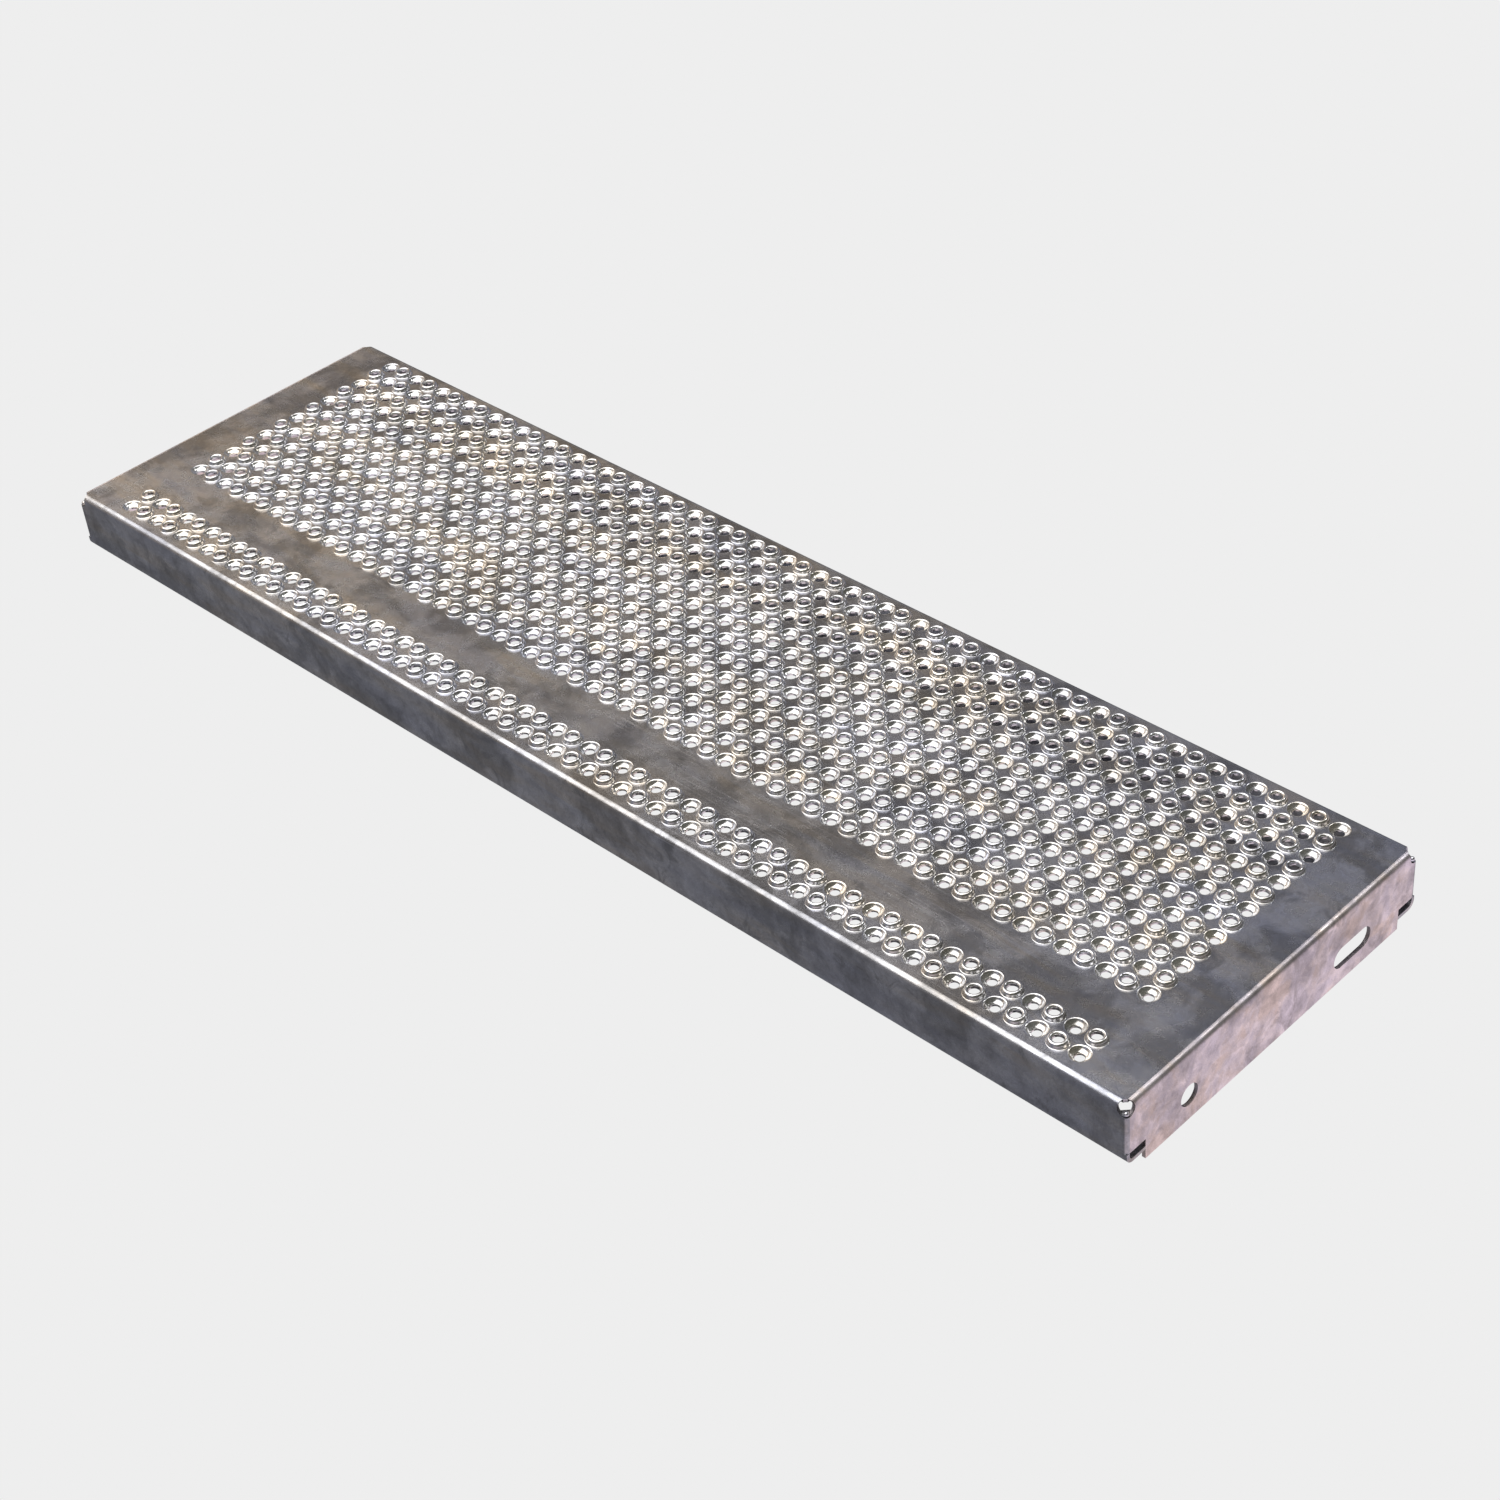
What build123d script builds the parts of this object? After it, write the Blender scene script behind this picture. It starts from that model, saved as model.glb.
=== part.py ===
from build123d import *
import math
import os

# Perforated sheet-metal plank: one galvanised blank, folded down on all four sides into a shallow tray.
# X runs along the length, Y from the front side to the rear side, Z up.
# The origin is under the middle of the plank, level with the lower edges of the two end flanges.

# Driving dimensions, in millimetres
PITCH = 15.0                  # square hole grid
COLUMNS = 59                  # hole columns along the length
FRONT_ROWS = (0, 1)           # hole rows of the narrow front band
MAIN_ROWS = tuple(range(4, 17))   # hole rows of the main field, behind the blank strip
LENGTH = 960.0                # over the outer faces of the end flanges
WIDTH = 270.0                 # over the outer faces of the side flanges
SHEET = 2.5                   # sheet thickness
BEND_OUTER = 4.0              # outer radius of the four upper folds
LOWER_BEND_OUTER = 5.5        # outer radius of the fold into each return lip
END_HEIGHT = 51.0             # end flange, from the walking surface to its lower edge
SIDE_HEIGHT = 44.0            # side flange, from the walking surface to its underside
LIP_WIDTH = 26.0              # inward return lip under each side flange, over the fold
FRONT_ROW_FROM_EDGE = 16.0    # first hole row, from the outer face of the front flange

# Formed holes, measured from the walking surface
DRAIN_RIM_RADIUS = 6.3        # rim of the sunk dimple
DRAIN_HOLE_RADIUS = 3.1
DRAIN_DEPTH = 2.6             # top edge of the drain hole, below the surface
GRIP_BASE_RADIUS = 6.8        # foot of the raised collar
GRIP_CREST_RADIUS = 5.4       # outer edge of the collar's flat crest
GRIP_HOLE_RADIUS = 3.2
GRIP_HEIGHT = 3.0             # crest above the surface
FORM_SHEET = 1.8              # sheet thinned by the press at the formed holes

# End flange cut-outs
NOTCH_WIDTH = 16.2            # clearance at both lower corners
NOTCH_TOP = 36.0              # top of the notch, below the walking surface
BOLT_BELOW_TOP = 32.5         # centre height of the round hole and the slot
BOLT_HOLE_RADIUS = 7.5
BOLT_HOLE_FROM_FRONT = 54.5
SLOT_FROM_FRONT = 207.0       # centre of the slot
SLOT_WIDTH = 15.0
SLOT_LENGTH = 36.0

# Corner relief holes and the welds that close the seams below them
RELIEF_RADIUS = 5.3
RELIEF_INSET = 2.4            # relief centre, inside both outer faces
RELIEF_DEPTH = 3.8            # relief centre, below the walking surface
SEAM_ROUNDING = 2.4           # vertical outer edge of each corner, dressed smooth after welding
WELD_LEG = 4.0                # fillet bead in the inside corner
WELD_TOP = 7.4                # start of the bead, below the walking surface
TACK_RADIUS = 1.6             # ball at the start of the bead
TACK_INSET = 2.2              # ball centre, inside both outer faces

# Worked out from the driving dimensions
TOP = END_HEIGHT
HALF_LENGTH = LENGTH / 2
HALF_WIDTH = WIDTH / 2
BEND_INNER = BEND_OUTER - SHEET
LOWER_BEND_INNER = LOWER_BEND_OUTER - SHEET
DECK_BITE_RADIUS = math.sqrt(RELIEF_RADIUS ** 2 - RELIEF_DEPTH ** 2)
FRONT_ROW_Y = -HALF_WIDTH + FRONT_ROW_FROM_EDGE
MIDDLE_COLUMN = (COLUMNS - 1) / 2
BOLT_Z = TOP - BOLT_BELOW_TOP


def hole_centres(raised):
    """Centres of one kind of hole; the two kinds alternate like the squares of a chessboard."""
    centres = []
    for row in FRONT_ROWS + MAIN_ROWS:
        for column in range(COLUMNS):
            if ((row + column) % 2 == 1) == raised:
                x = (column - MIDDLE_COLUMN) * PITCH
                centres.append((x, FRONT_ROW_Y + row * PITCH))
    return centres


def hole_faces(profile, centres):
    """The swept wall of one formed hole at every centre, from (radius, height above surface) pairs."""
    outline = Polyline(*[(radius, 0, TOP + height) for radius, height in profile])
    wall = Shell.revolve(outline, 360, Axis.Z)
    faces = []
    for x, y in centres:
        faces += [face.moved(Location((x, y, 0))) for face in wall.faces()]
    return faces


def rings(radius, height, centres):
    """Circles that open the flat sheet at every centre."""
    return [Wire(Edge.make_circle(radius, Plane((x, y, TOP + height)))) for x, y in centres]


def at_corners(shape, inset, height):
    """Copies of a shape near the four vertical corner lines, set in from both outer faces."""
    x = HALF_LENGTH - inset
    y = HALF_WIDTH - inset
    return [Pos(sx * x, sy * y, height) * shape for sx in (-1, 1) for sy in (-1, 1)]


def deck_blank():
    """The flat panel inside the fold lines, with a round bite at each corner."""
    blank = Rectangle(LENGTH - 2 * BEND_OUTER, WIDTH - 2 * BEND_OUTER)
    for bite in at_corners(Circle(DECK_BITE_RADIUS), RELIEF_INSET, 0):
        blank -= bite
    return extrude(Pos(0, 0, TOP) * blank, amount=-SHEET)


def make_deck():
    """The walking surface: flat sheet with sunk drain holes and raised grip holes, sewn as one closed skin."""
    drains = hole_centres(raised=False)
    grips = hole_centres(raised=True)
    drain_profile = [
        (DRAIN_RIM_RADIUS, 0),
        (DRAIN_HOLE_RADIUS, -DRAIN_DEPTH),
        (DRAIN_HOLE_RADIUS, -DRAIN_DEPTH - FORM_SHEET),
        (DRAIN_RIM_RADIUS - SHEET / 2, -SHEET),
    ]
    grip_profile = [
        (GRIP_BASE_RADIUS, 0),
        (GRIP_CREST_RADIUS, GRIP_HEIGHT),
        (GRIP_HOLE_RADIUS, GRIP_HEIGHT),
        (GRIP_HOLE_RADIUS, GRIP_HEIGHT - FORM_SHEET),
        (GRIP_BASE_RADIUS - SHEET / 2, -SHEET),
    ]
    top_rings = rings(DRAIN_RIM_RADIUS, 0, drains) + rings(GRIP_BASE_RADIUS, 0, grips)
    under_rings = rings(DRAIN_RIM_RADIUS - SHEET / 2, -SHEET, drains)
    under_rings += rings(GRIP_BASE_RADIUS - SHEET / 2, -SHEET, grips)
    blank = deck_blank()
    surfaces = blank.faces().sort_by(Axis.Z)
    under, top = surfaces[0], surfaces[-1]
    skin = [Face(top.outer_wire(), top_rings), Face(under.outer_wire(), under_rings)]
    skin += surfaces[1:-1]
    skin += hole_faces(drain_profile, drains)
    skin += hole_faces(grip_profile, grips)
    return Solid(Shell(skin))


def cut_corners(solid):
    """Clears each top corner: the folds stop at the blank's corner squares, under a round relief hole."""
    square = Box(2 * BEND_OUTER, 2 * BEND_OUTER, 2 * BEND_OUTER)
    relief = Sphere(RELIEF_RADIUS)
    for cutter in at_corners(square, 0, TOP) + at_corners(relief, RELIEF_INSET, TOP - RELIEF_DEPTH):
        solid -= cutter
    return solid


def round_seams(solid):
    """Rounds the vertical outer edge of each corner, from the walking surface down to the notch."""
    block = Box(2 * SEAM_ROUNDING, 2 * SEAM_ROUNDING, NOTCH_TOP)
    for sx in (-1, 1):
        for sy in (-1, 1):
            middle = Pos(sx * HALF_LENGTH, sy * HALF_WIDTH, TOP - NOTCH_TOP / 2)
            rounding = Pos(-sx * SEAM_ROUNDING, -sy * SEAM_ROUNDING, 0) * Cylinder(SEAM_ROUNDING, NOTCH_TOP)
            solid -= middle * (block - rounding)
    return solid


def folded_section(outer, height):
    """Plain folded flange as (distance out, height): upper fold and web, with a sheared lower edge."""
    bottom = TOP - height
    fold_start = (outer - BEND_OUTER, TOP)
    fold_end = (outer, TOP - BEND_OUTER)
    inner_end = (outer - SHEET, TOP - BEND_OUTER)
    inner_start = (outer - BEND_OUTER, TOP - SHEET)
    path = RadiusArc(fold_start, fold_end, BEND_OUTER).edges()
    path += Polyline(fold_end, (outer, bottom), (outer - SHEET, bottom), inner_end).edges()
    path += RadiusArc(inner_end, inner_start, -BEND_INNER).edges()
    path += Line(inner_start, fold_start).edges()
    return Face(Wire(path))


def lip_section(outer, height):
    """Lower fold and return lip that follow on from a plain folded flange."""
    bottom = TOP - height
    web_out = (outer, bottom + LOWER_BEND_OUTER)
    web_in = (outer - SHEET, bottom + LOWER_BEND_OUTER)
    lip_under = (outer - LOWER_BEND_OUTER, bottom)
    lip_over = (outer - LOWER_BEND_OUTER, bottom + SHEET)
    lip_end = outer - LIP_WIDTH
    path = RadiusArc(web_out, lip_under, LOWER_BEND_OUTER).edges()
    path += Polyline(lip_under, (lip_end, bottom), (lip_end, bottom + SHEET), lip_over).edges()
    path += RadiusArc(lip_over, web_in, -LOWER_BEND_INNER).edges()
    path += Line(web_in, web_out).edges()
    return Face(Wire(path))


def make_rear_side_flange(*end_flanges):
    """Long side: folded down, then in under the deck as a lip. Its web runs out to both end planes."""
    web = Plane.YZ * folded_section(HALF_WIDTH, SIDE_HEIGHT - LOWER_BEND_OUTER)
    lip = Plane.YZ * lip_section(HALF_WIDTH, SIDE_HEIGHT)
    flange = extrude(web, amount=HALF_LENGTH, both=True) + extrude(lip, amount=HALF_LENGTH, both=True)
    flange = round_seams(cut_corners(flange))
    for end_flange in end_flanges:
        flange -= end_flange
    return flange


def make_right_end_flange():
    """Short side between the two webs: a deeper plate with a round hole, a slot and notched lower corners."""
    section = Plane.XZ * folded_section(HALF_LENGTH, END_HEIGHT)
    plate = extrude(section, amount=HALF_WIDTH - SHEET, both=True)
    notch = Box(4 * SHEET, 2 * NOTCH_WIDTH, 2 * (END_HEIGHT - NOTCH_TOP))
    for sy in (-1, 1):
        plate -= Pos(HALF_LENGTH, sy * HALF_WIDTH, 0) * notch
    outer_face = Plane(origin=(HALF_LENGTH, -HALF_WIDTH, BOLT_Z), x_dir=(0, 1, 0), z_dir=(1, 0, 0))
    round_hole = outer_face * Pos(BOLT_HOLE_FROM_FRONT, 0) * Circle(BOLT_HOLE_RADIUS)
    slot = outer_face * Pos(SLOT_FROM_FRONT, 0) * SlotOverall(SLOT_LENGTH, SLOT_WIDTH)
    plate -= extrude(round_hole, amount=2 * SHEET, both=True)
    plate -= extrude(slot, amount=2 * SHEET, both=True)
    return cut_corners(plate)


def make_rear_right_weld(*plates):
    """Fillet bead in the inside corner of the seam; its ball-shaped start shows in the relief hole."""
    x = HALF_LENGTH - SHEET
    y = HALF_WIDTH - SHEET
    foot = Polyline((x, y), (x - WELD_LEG, y), (x, y - WELD_LEG), (x, y))
    weld = extrude(Pos(0, 0, TOP - NOTCH_TOP) * Face(Wire(foot.edges())), amount=NOTCH_TOP - WELD_TOP)
    weld += Pos(HALF_LENGTH - TACK_INSET, HALF_WIDTH - TACK_INSET, TOP - WELD_TOP) * Sphere(TACK_RADIUS)
    for plate in plates:
        weld -= plate
    return weld


nodes = {"deck_panel": make_deck()}

right_flange = make_right_end_flange()
left_flange = mirror(right_flange, about=Plane.YZ)
nodes["right_end_flange"] = right_flange
nodes["left_end_flange"] = left_flange

rear_flange = make_rear_side_flange(right_flange, left_flange)
nodes["rear_side_flange"] = rear_flange
nodes["front_side_flange"] = mirror(rear_flange, about=Plane.XZ)

rear_right_weld = make_rear_right_weld(rear_flange, right_flange)
front_right_weld = mirror(rear_right_weld, about=Plane.XZ)
nodes["corner_weld_rear_right"] = rear_right_weld
nodes["corner_weld_front_right"] = front_right_weld
nodes["corner_weld_rear_left"] = mirror(rear_right_weld, about=Plane.YZ)
nodes["corner_weld_front_left"] = mirror(front_right_weld, about=Plane.YZ)

os.makedirs("parts", exist_ok=True)
for name, solid in nodes.items():
    export_step(solid, f"parts/{name}.step")
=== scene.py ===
"""Perforated, folded and galvanised sheet-metal plank, dressed over its CAD frame.

Everything is in metres, in the plank's own frame: X along the length, Y from front to rear, Z up.
"""
import math

import bmesh
import bpy
from mathutils import Euler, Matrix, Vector


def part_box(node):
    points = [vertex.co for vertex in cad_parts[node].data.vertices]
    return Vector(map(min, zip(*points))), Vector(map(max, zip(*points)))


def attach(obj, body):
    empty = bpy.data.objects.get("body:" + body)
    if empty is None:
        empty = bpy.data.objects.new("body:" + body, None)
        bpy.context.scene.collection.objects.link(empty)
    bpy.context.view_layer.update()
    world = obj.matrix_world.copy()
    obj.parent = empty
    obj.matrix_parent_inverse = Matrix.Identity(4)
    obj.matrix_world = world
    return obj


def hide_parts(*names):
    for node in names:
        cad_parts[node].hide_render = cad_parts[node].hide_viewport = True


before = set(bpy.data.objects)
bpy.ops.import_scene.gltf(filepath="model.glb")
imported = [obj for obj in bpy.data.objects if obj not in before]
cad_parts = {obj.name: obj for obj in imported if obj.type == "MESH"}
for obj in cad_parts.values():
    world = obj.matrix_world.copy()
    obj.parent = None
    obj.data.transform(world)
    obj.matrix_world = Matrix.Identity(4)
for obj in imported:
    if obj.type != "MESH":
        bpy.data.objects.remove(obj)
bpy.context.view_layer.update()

MM = 0.001

# Sizes taken from the CAD frame
deck_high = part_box("deck_panel")[1]
side_low, side_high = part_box("front_side_flange")
end_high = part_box("right_end_flange")[1]
SURFACE = side_high.z                      # height of the walking surface
FOLD_X = deck_high.x                       # where the flat sheet ends and the end fold begins
FOLD_Y = deck_high.y
HALF_LENGTH = end_high.x
HALF_WIDTH = -side_low.y

# Round bite at each corner of the flat sheet, where the relief hole meets it
BITE_RADIUS = 3.7 * MM
BITE_INSET = 2.4 * MM                      # bite centre, inside both outer faces
BITE_STEPS = 14

# Hole grid
PITCH = 15 * MM
COLUMNS = 59
FRONT_ROWS = range(0, 2)
MAIN_ROWS = range(4, 17)
FRONT_ROW_FROM_EDGE = 16 * MM
FIRST_ROW_Y = -HALF_WIDTH + FRONT_ROW_FROM_EDGE
SHEET = 2.5 * MM
SEGMENTS = 24                              # sides of each round hole, a multiple of eight

# Walls of the formed holes in millimetres, from the flat sheet inwards: (radius, height above the surface)
GRIP_WALL = [
    (7.1, 0.0), (6.85, 0.1), (6.65, 0.45), (6.45, 1.1), (6.2, 1.8), (5.85, 2.4),
    (5.4, 2.8), (4.85, 2.97), (4.3, 2.85), (3.85, 2.5), (3.5, 1.95), (3.3, 1.3),
    (3.25, 0.6), (3.4, -0.1), (4.3, 0.4), (5.2, -0.4), (6.0, -2.1), (7.1, -2.5),
]
DRAIN_WALL = [
    (6.9, 0.0), (6.55, -0.05), (6.25, -0.25), (5.95, -0.7), (5.4, -1.35), (4.75, -1.95),
    (4.1, -2.35), (3.5, -2.65), (3.15, -3.0), (3.1, -3.6),
    (3.2, -4.3), (4.0, -4.1), (5.0, -3.3), (6.0, -2.7), (6.9, -2.5),
]
SMOOTH_ANGLE = math.radians(50)


# ---------------------------------------------------------------- mesh helpers

def new_object(name, mesh):
    piece = bpy.data.objects.new(name, mesh)
    bpy.context.scene.collection.objects.link(piece)
    return piece


def mesh_from(name, points, faces):
    mesh = bpy.data.meshes.new(name)
    mesh.from_pydata(points, [], faces)
    mesh.validate()
    mesh.shade_smooth()
    mesh.set_sharp_from_angle(angle=SMOOTH_ANGLE)
    return mesh


def cells():
    """Every hole of the grid as (x, y, raised)."""
    middle = (COLUMNS - 1) / 2
    for row in [*FRONT_ROWS, *MAIN_ROWS]:
        for column in range(COLUMNS):
            yield (column - middle) * PITCH, FIRST_ROW_Y + row * PITCH, (row + column) % 2 == 1


def ring(x, y, radius, z):
    turn = 2 * math.pi / SEGMENTS
    angles = [i * turn for i in range(SEGMENTS)]
    return [(x + radius * math.cos(angle), y + radius * math.sin(angle), z) for angle in angles]


def square_ring(x, y, z):
    """The cell's edge, with one point opposite each point of the round hole."""
    half = PITCH / 2
    turn = 2 * math.pi / SEGMENTS
    points = []
    for i in range(SEGMENTS):
        across, up = math.cos(i * turn), math.sin(i * turn)
        reach = half / max(abs(across), abs(up))
        points.append((x + across * reach, y + up * reach, z))
    return points


def bridge(faces, outer, inner, facing_up):
    """Quads between two rings that start at these point numbers."""
    for i in range(SEGMENTS):
        j = (i + 1) % SEGMENTS
        quad = (outer + i, outer + j, inner + j, inner + i)
        faces.append(quad if facing_up else quad[::-1])


def formed_holes(name, wall, raised, rows_from, rows_to):
    """The walls of one kind of hole, as turned rings at every centre between two rows."""
    points, faces = [], []
    low = FIRST_ROW_Y + (rows_from - 0.5) * PITCH
    high = FIRST_ROW_Y + (rows_to + 0.5) * PITCH
    for x, y, is_raised in cells():
        if is_raised != raised or not low < y < high:
            continue
        start = len(points)
        for radius, height in wall:
            points += ring(x, y, radius * MM, SURFACE + height * MM)
        for step in range(len(wall) - 1):
            bridge(faces, start + step * SEGMENTS, start + (step + 1) * SEGMENTS, True)
    return new_object(name, mesh_from(name, points, faces))


def corner_bite(side_x, side_y):
    """The arc of one corner bite, from the end fold round to the side fold."""
    centre_x = HALF_LENGTH - BITE_INSET
    centre_y = HALF_WIDTH - BITE_INSET
    start = math.asin((centre_x - FOLD_X) / BITE_RADIUS)
    stop = math.pi / 2 - start
    points = []
    for i in range(BITE_STEPS + 1):
        angle = stop + (start - stop) * i / BITE_STEPS
        x = centre_x - BITE_RADIUS * math.cos(angle)
        y = centre_y - BITE_RADIUS * math.sin(angle)
        points.append((side_x * x, side_y * y))
    return points


def deck_sheet():
    """The flat sheet, top and underside, open at every hole and bitten round at its corners."""
    points, faces = [], []

    def polygon(outline, z, facing_up):
        start = len(points)
        points.extend((x, y, z) for x, y in outline)
        numbers = tuple(range(start, start + len(outline)))
        faces.append(numbers if facing_up else numbers[::-1])

    def rectangle(x0, x1, y0, y1, z, facing_up):
        polygon([(x0, y0), (x1, y0), (x1, y1), (x0, y1)], z, facing_up)

    edge_x = COLUMNS * PITCH / 2
    first = FIRST_ROW_Y - PITCH / 2
    last_front = first + len(FRONT_ROWS) * PITCH
    first_main = FIRST_ROW_Y + (MAIN_ROWS[0] - 0.5) * PITCH
    last = FIRST_ROW_Y + (MAIN_ROWS[-1] + 0.5) * PITCH
    front_bite = corner_bite(1, -1)
    rear_bite = corner_bite(1, 1)
    right_end = [(edge_x, -FOLD_Y), *reversed(front_bite), *rear_bite, (edge_x, FOLD_Y)]
    left_end = [(-x, y) for x, y in reversed(right_end)]
    for z, facing_up in ((SURFACE, True), (SURFACE - SHEET, False)):
        for x, y, is_raised in cells():
            radius = (GRIP_WALL if is_raised else DRAIN_WALL)[0][0] * MM
            start = len(points)
            points += square_ring(x, y, z) + ring(x, y, radius, z)
            bridge(faces, start, start + SEGMENTS, facing_up)
        polygon(right_end, z, facing_up)
        polygon(left_end, z, facing_up)
        rectangle(-edge_x, edge_x, -FOLD_Y, first, z, facing_up)
        rectangle(-edge_x, edge_x, last_front, first_main, z, facing_up)
        rectangle(-edge_x, edge_x, last, FOLD_Y, z, facing_up)
    for side_x in (-1, 1):
        for side_y in (-1, 1):
            arc = corner_bite(side_x, side_y)
            for (x0, y0), (x1, y1) in zip(arc, arc[1:]):
                start = len(points)
                points.extend([(x0, y0, SURFACE), (x1, y1, SURFACE)])
                points.extend([(x1, y1, SURFACE - SHEET), (x0, y0, SURFACE - SHEET)])
                faces.append((start, start + 1, start + 2, start + 3))
    return new_object("deck_sheet", mesh_from("deck_sheet", points, faces))


# ---------------------------------------------------------------- materials

def node(tree, kind, **settings):
    made = tree.nodes.new(kind)
    for key, value in settings.items():
        setattr(made, key, value)
    return made


def ramp(tree, source, stops):
    """Colour ramp fed by a value: stops are (position, (r, g, b))."""
    made = node(tree, "ShaderNodeValToRGB")
    elements = made.color_ramp.elements
    while len(elements) < len(stops):
        elements.new(0.5)
    for element, (position, colour) in zip(elements, stops):
        element.position = position
        element.color = (*colour, 1)
    tree.links.new(source, made.inputs["Fac"])
    return made.outputs["Color"]


def noise(tree, coordinates, scale, detail=4.0, roughness=0.55, distortion=0.0):
    made = node(tree, "ShaderNodeTexNoise")
    made.inputs["Scale"].default_value = scale
    made.inputs["Detail"].default_value = detail
    made.inputs["Roughness"].default_value = roughness
    made.inputs["Distortion"].default_value = distortion
    tree.links.new(coordinates, made.inputs["Vector"])
    return made.outputs["Fac"]


def mix(tree, blend, factor, a, b):
    """Mix of two colours; factor, a and b are sockets or plain values."""
    made = node(tree, "ShaderNodeMix", data_type="RGBA", blend_type=blend)
    for socket, value in ((made.inputs[0], factor), (made.inputs[6], a), (made.inputs[7], b)):
        if hasattr(value, "links"):
            tree.links.new(value, socket)
        else:
            socket.default_value = value
    return made.outputs[2]


def stretched(tree, place, turn, scale):
    """Position turned about Z and stretched, for streaks and scratches."""
    made = node(tree, "ShaderNodeMapping")
    made.inputs["Rotation"].default_value = (0, 0, math.radians(turn))
    made.inputs["Scale"].default_value = scale
    tree.links.new(place, made.inputs["Vector"])
    return made.outputs["Vector"]


def grey(value):
    return (value, value, value)


LINE_EDGE = 0.016                          # half width of a scratch, as a step of its noise
CROSSING_FEWER = 0.04                      # the crossing set has this much less of them
SCRATCH_STRENGTH = 0.5
SCUFF_DARKENING = 0.42
PATCH_STRENGTH = 3.2                       # strength of the large patches, times the mottle
BARE_METAL = 1.5                           # a scratch is this much lighter than the zinc


def scratches(tree, place, turn, thinness, amount):
    """Thin broken lines as a mask; a smaller amount leaves fewer of them."""
    lines = noise(tree, stretched(tree, place, turn, (2.5, thinness, 2.5)), 1.0, 2, 0.5)
    lines = ramp(tree, lines, [(0.5 - LINE_EDGE, grey(0)), (0.5, grey(1)), (0.5 + LINE_EDGE, grey(0))])
    broken = ramp(tree, noise(tree, place, 9, 2), [(0.62 - amount, grey(0)), (0.7 - amount, grey(1))])
    return mix(tree, "MULTIPLY", 1.0, lines, broken)


def zinc(name, tint, roughness, mottle, scuff, scratch):
    """Hot-dip galvanised steel: zinc bloom, patches, warm and cool streaks, grain, scuffs, scratches."""
    material = bpy.data.materials.new(name)
    material.use_nodes = True
    tree = material.node_tree
    shader = tree.nodes["Principled BSDF"]
    place = node(tree, "ShaderNodeNewGeometry").outputs["Position"]

    bloom = noise(tree, place, 75, 7, 0.68, 0.4)
    light = tuple(min(1, c * (1 + mottle)) for c in tint)
    dark = tuple(c * (1 - mottle) for c in tint)
    base = ramp(tree, bloom, [(0.4, dark), (0.47, tint), (0.52, tint), (0.58, light)])

    patches = noise(tree, place, 26, 6, 0.6, 0.35)
    shades = [(0.42, grey(0.52)), (0.46, grey(0.74)), (0.51, grey(1.0)), (0.58, grey(1.2))]
    base = mix(tree, "MULTIPLY", mottle * PATCH_STRENGTH, base, ramp(tree, patches, shades))

    streaks = noise(tree, stretched(tree, place, 8, (10, 45, 45)), 1.0, 5, 0.6, 0.5)
    tones = [(0.38, (0.84, 0.86, 0.93)), (0.5, (1.0, 1.0, 1.0)), (0.62, (1.02, 0.95, 0.84))]
    base = mix(tree, "MULTIPLY", 0.85, base, ramp(tree, streaks, tones))

    grain = noise(tree, place, 1300, 3, 0.65)
    fine = ramp(tree, grain, [(0.35, grey(0.72)), (0.65, grey(1.0))])
    base = mix(tree, "MULTIPLY", 0.7, base, fine)

    marks = noise(tree, place, 38, 6, 0.72, 0.8)
    marks = ramp(tree, marks, [(0.56, grey(0)), (0.64, grey(scuff))])
    base = mix(tree, "MIX", marks, base, tuple(c * SCUFF_DARKENING for c in tint) + (1,))

    lines = scratches(tree, place, 14, 420, scratch)
    crossing = scratches(tree, place, -52, 300, scratch - CROSSING_FEWER)
    lines = mix(tree, "LIGHTEN", 1.0, lines, crossing)
    faded = mix(tree, "MULTIPLY", 1.0, lines, (*grey(SCRATCH_STRENGTH), 1))
    bare = tuple(min(1, c * BARE_METAL) for c in tint) + (1,)
    base = mix(tree, "MIX", faded, base, bare)
    tree.links.new(base, shader.inputs["Base Color"])

    dull = ramp(tree, bloom, [(0.34, grey(roughness + 0.08)), (0.62, grey(roughness - 0.06))])
    tree.links.new(dull, shader.inputs["Roughness"])
    shader.inputs["Metallic"].default_value = 0.92

    bump = node(tree, "ShaderNodeBump")
    bump.inputs["Strength"].default_value = 0.16
    bump.inputs["Distance"].default_value = 0.0005
    tree.links.new(bloom, bump.inputs["Height"])
    tree.links.new(bump.outputs["Normal"], shader.inputs["Normal"])
    return material


def dress(piece, material):
    piece.data.materials.clear()
    piece.data.materials.append(material)


# ---------------------------------------------------------------- camera and lights

CAMERA_AT = Vector((1.1187, -0.9451, 1.1115))
CAMERA_AZIMUTH = math.radians(45.89)
CAMERA_ELEVATION = math.radians(38.245)
CAMERA_ROLL = math.radians(-4.53)


def make_camera():
    data = bpy.data.cameras.new("camera")
    data.lens = 66.64
    data.sensor_width = 36
    data.shift_x = -0.058
    data.clip_start = 0.01
    camera = bpy.data.objects.new("camera", data)
    bpy.context.scene.collection.objects.link(camera)
    camera.location = CAMERA_AT
    aim = Euler((math.pi / 2 - CAMERA_ELEVATION, 0, CAMERA_AZIMUTH)).to_matrix()
    roll = Euler((0, 0, CAMERA_ROLL)).to_matrix()
    camera.rotation_euler = (aim @ roll).to_euler()
    bpy.context.scene.camera = camera


def area_light(name, at, target, size, power, colour):
    data = bpy.data.lights.new(name, "AREA")
    data.shape = "RECTANGLE"
    data.size, data.size_y = size
    data.energy = power
    data.color = colour
    light = bpy.data.objects.new(name, data)
    bpy.context.scene.collection.objects.link(light)
    light.location = at
    light.rotation_euler = (Vector(target) - Vector(at)).to_track_quat("-Z", "Y").to_euler()
    return light


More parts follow.
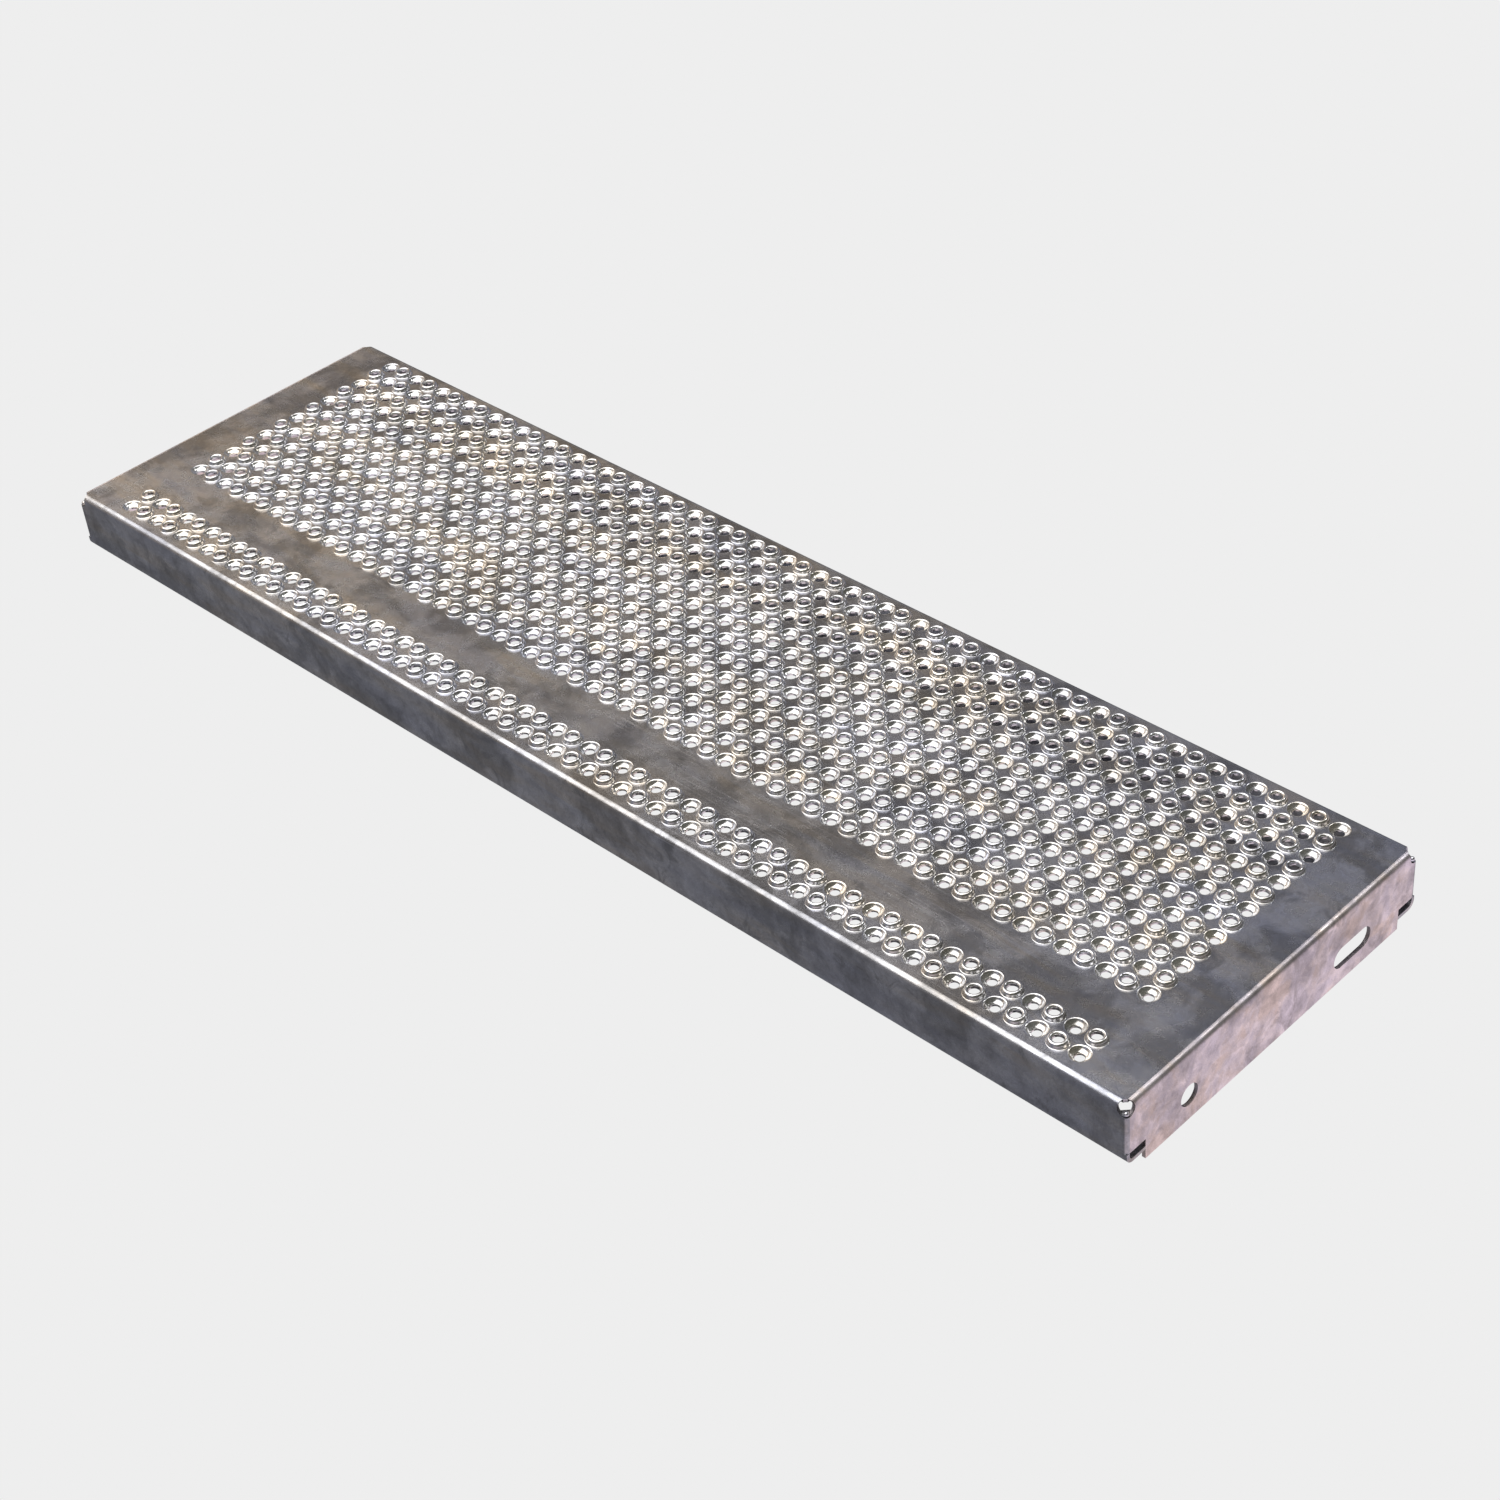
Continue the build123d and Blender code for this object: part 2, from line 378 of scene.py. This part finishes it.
# Light that the plank mirrors, by direction. Sideways is the direction's X part: -1 left, +1 right.
SKY = [
    (-0.8, (0.47, 0.37, 0.28)),
    (-0.6, (0.19, 0.165, 0.135)),
    (-0.38, (0.2, 0.215, 0.285)),
    (-0.05, (0.24, 0.24, 0.27)),
    (0.25, (0.1, 0.1, 0.08)),
]
GROUND = [
    (-0.8, (0.22, 0.22, 0.235)),
    (-0.2, (0.2, 0.2, 0.22)),
    (0.25, (1.0, 0.86, 0.91)),
    (0.8, (0.98, 0.86, 0.92)),
]
BACKDROP_TONE = 0.855                      # pale grey
FLOOR_HEIGHT = -0.0005                     # a hair under the end flanges


def signed_ramp(tree, source, stops):
    """Colour ramp over -1 to 1."""
    span = node(tree, "ShaderNodeMapRange")
    span.inputs["From Min"].default_value = -1
    tree.links.new(source, span.inputs["Value"])
    return ramp(tree, span.outputs["Result"], [((at + 1) / 2, colour) for at, colour in stops])


def make_sky():
    """Dim surroundings by direction: warm far left, cooler behind, bright pinkish ground to the right."""
    world = bpy.data.worlds.new("studio")
    world.use_nodes = True
    tree = world.node_tree
    direction = node(tree, "ShaderNodeTexCoord").outputs["Generated"]
    parts = node(tree, "ShaderNodeSeparateXYZ")
    tree.links.new(direction, parts.inputs[0])
    sky = signed_ramp(tree, parts.outputs["X"], SKY)
    ground = signed_ramp(tree, parts.outputs["X"], GROUND)
    above = signed_ramp(tree, parts.outputs["Z"], [(-0.15, (0, 0, 0)), (0.15, (1, 1, 1))])
    tree.links.new(mix(tree, "MIX", above, ground, sky), tree.nodes["Background"].inputs["Color"])
    bpy.context.scene.world = world


def make_studio():
    make_sky()
    bpy.context.scene.view_settings.view_transform = "Standard"
    middle = (0, 0, SURFACE)
    area_light("overhead", (-1.15, -0.8, 2.3), (-1.15, -0.8, 0), (4.3, 3.5), 150, (1, 0.97, 0.93))
    area_light("end_strip", (0.7, 1.75, 2.2), middle, (0.8, 0.4), 9, (1, 0.99, 0.97))


def make_backdrop():
    """Pale floor and dome that only the camera sees, so that neither colours the zinc."""
    radius = 30.0
    mesh = bpy.data.meshes.new("backdrop")
    shape = bmesh.new()
    bmesh.ops.create_uvsphere(shape, u_segments=32, v_segments=16, radius=radius)
    for vertex in shape.verts:
        vertex.co.z = max(vertex.co.z, FLOOR_HEIGHT)
    shape.to_mesh(mesh)
    shape.free()
    backdrop = new_object("backdrop", mesh)
    material = bpy.data.materials.new("pale_backdrop")
    material.use_nodes = True
    shader = material.node_tree.nodes["Principled BSDF"]
    shader.inputs["Base Color"].default_value = (0, 0, 0, 1)
    shader.inputs["Specular IOR Level"].default_value = 0
    shader.inputs["Emission Color"].default_value = (BACKDROP_TONE,) * 3 + (1,)
    shader.inputs["Emission Strength"].default_value = 1
    mesh.materials.append(material)
    backdrop.visible_glossy = False
    backdrop.visible_diffuse = False
    backdrop.visible_shadow = False


# ---------------------------------------------------------------- the plank

make_camera()
make_studio()
make_backdrop()

deck_zinc = zinc("deck_zinc", (0.46, 0.46, 0.48), 0.24, 0.22, 0.5, 0.06)
formed_zinc = zinc("formed_zinc", (0.7, 0.7, 0.71), 0.2, 0.12, 0.3, 0.0)
side_zinc = zinc("side_zinc", (0.42, 0.43, 0.46), 0.33, 0.18, 0.6, 0.04)
# The end flange is the same folded sheet as the side flanges; its lighter, pinker zinc is painted light, a
# painted reflection of the bright ground to its right.
end_zinc = zinc("end_zinc", (0.66, 0.61, 0.63), 0.42, 0.15, 0.6, 0.06)
weld_zinc = zinc("weld_zinc", (0.7, 0.7, 0.72), 0.24, 0.12, 0.3, 0.0)

sheet = deck_sheet()
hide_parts("deck_panel")
deck_pieces = [(sheet, deck_zinc)]
for label, rows in (("front", (0, 4)), ("middle", (5, 10)), ("rear", (11, 16))):
    deck_pieces.append((formed_holes(f"grip_holes_{label}", GRIP_WALL, True, *rows), formed_zinc))
    deck_pieces.append((formed_holes(f"drain_holes_{label}", DRAIN_WALL, False, *rows), formed_zinc))
for piece, material in deck_pieces:
    dress(piece, material)
    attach(piece, "root")

for name, cad_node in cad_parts.items():
    if "side_flange" in name:
        dress(cad_node, side_zinc)
    elif "end_flange" in name:
        dress(cad_node, end_zinc)
    elif "weld" in name:
        dress(cad_node, weld_zinc)
